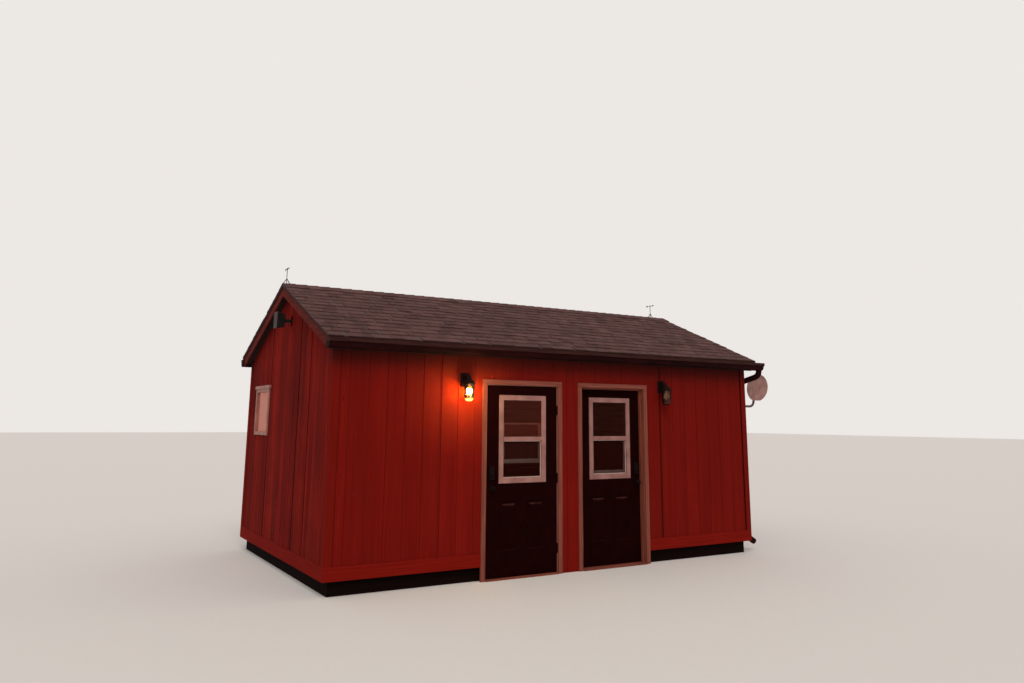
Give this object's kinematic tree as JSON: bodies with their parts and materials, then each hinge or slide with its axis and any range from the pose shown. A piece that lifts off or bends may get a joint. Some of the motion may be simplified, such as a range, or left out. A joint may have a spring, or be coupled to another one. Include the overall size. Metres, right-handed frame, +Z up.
{
  "type": "sauna hut",
  "caption": "Small gable-roofed timber sauna hut with red grooved siding, side-by-side black doors, wall lanterns, gutters and a shingled roof",
  "frame": {"origin": "middle of the footprint at ground level, on the underside of the floor", "axes": "+X along the long front towards the right-hand gable, +Y from the front to the back, +Z up"},
  "size_m": [6.5675, 3.816, 3.4592],
  "materials": {
    "black_beams": "black-stained timber",
    "floor_boards": "planed softwood",
    "red_siding": "barn-red painted rough-sawn siding",
    "red_trim": "barn-red painted boards",
    "roof_timber": "brown-stained timber",
    "shingles": "brown mineral-surfaced asphalt shingle",
    "brown_metal": "dark brown baked enamel",
    "pine": "unpainted pine",
    "black_metal": "black powder coat",
    "tan_frame": "tan vinyl",
    "window_glass": "clear float glass",
    "lantern_black": "black powder coat",
    "jar_glass": "clear pressed glass",
    "bulb_glass": "frosted bulb",
    "speaker_mesh": "perforated grille, grey paint",
    "speaker_shell": "moulded shell",
    "dish_paint": "light grey powder coat",
    "mast_steel": "grey galvanised tube",
    "vane_metal": "weathered copper, dark",
    "black_door": "black satin paint on pressed steel",
    "white_frame": "white moulded frame"
  },
  "bodies": {
    "building": {"back_wall": "red_siding", "base_ends": "black_beams", "base_long": "black_beams", "bottom_boards": "red_trim", "corner_boards": "red_trim", "dish": "dish_paint", "dish_mount": "mast_steel", "door_sills": "pine", "downspouts": "brown_metal", "fascia_boards": "brown_metal", "floor": "floor_boards", "frame_hinges": "black_metal", "front_gutter": "brown_metal", "front_roof_frame": "roof_timber", "front_shingles": "shingles", "front_wall_header": "red_siding", "front_wall_left": "red_siding", "front_wall_middle": "red_siding", "front_wall_right": "red_siding", "gable_window_frame": "tan_frame", "gable_window_glass": "window_glass", "lantern_bulbs": "bulb_glass", "lantern_guards": "lantern_black", "lantern_jars": "jar_glass", "left_door_casing": "pine", "left_door_frame": "pine", "left_gable_wall": "red_siding", "left_lantern": "lantern_black", "rake_boards": "red_trim", "rear_gutter": "brown_metal", "rear_roof_frame": "roof_timber", "rear_shingles": "shingles", "ridge_cap": "shingles", "right_door_casing": "pine", "right_door_frame": "pine", "right_gable_wall": "red_siding", "right_lantern": "lantern_black", "speaker": "speaker_shell", "speaker_bracket": "black_metal", "speaker_grille": "speaker_mesh", "vane_rods": "vane_metal"},
    "left_door": {"left_door_slab": "black_door", "left_door_lite": "white_frame", "left_door_sash": "white_frame", "left_door_glass": "window_glass", "left_door_hinges": "black_metal", "left_door_lock": "black_metal"},
    "right_door": {"right_door_slab": "black_door", "right_door_lite": "white_frame", "right_door_sash": "white_frame", "right_door_glass": "window_glass", "right_door_hinges": "black_metal", "right_door_lock": "black_metal"},
    "left_knob": {"left_door_knob": "black_metal"},
    "right_knob": {"right_door_knob": "black_metal"},
    "left_vane": {"left_vane_arrow": "vane_metal"},
    "right_vane": {"right_vane_arrow": "vane_metal"}
  },
  "joints": [
    {"name": "left_door_hinge", "type": "hinge", "parent": "building", "child": "left_door", "pos_m": [-0.1905, -1.712, 0], "axis": [0, 0, 1], "range_deg": [0, 110]},
    {"name": "right_door_hinge", "type": "hinge", "parent": "building", "child": "right_door", "pos_m": [0.1685, -1.583, 0], "axis": [0, 0, 1], "range_deg": [0, 100]},
    {"name": "left_knob_turn", "type": "hinge", "parent": "left_door", "child": "left_knob", "pos_m": [-1.047, -1.704, 0.95], "axis": [0, 1, 0], "range_deg": [-60, 60], "stiffness_Nm_per_rad": 0.3},
    {"name": "right_knob_turn", "type": "hinge", "parent": "right_door", "child": "right_knob", "pos_m": [1.025, -1.635, 0.95], "axis": [0, 1, 0], "range_deg": [-60, 60], "stiffness_Nm_per_rad": 0.3},
    {"name": "left_vane_turn", "type": "hinge", "parent": "building", "child": "left_vane", "pos_m": [-2.935, 0, 3.4], "axis": [0, 0, 1], "continuous": true},
    {"name": "right_vane_turn", "type": "hinge", "parent": "building", "child": "right_vane", "pos_m": [2.731, 0, 3.4], "axis": [0, 0, 1], "continuous": true}
  ]
}
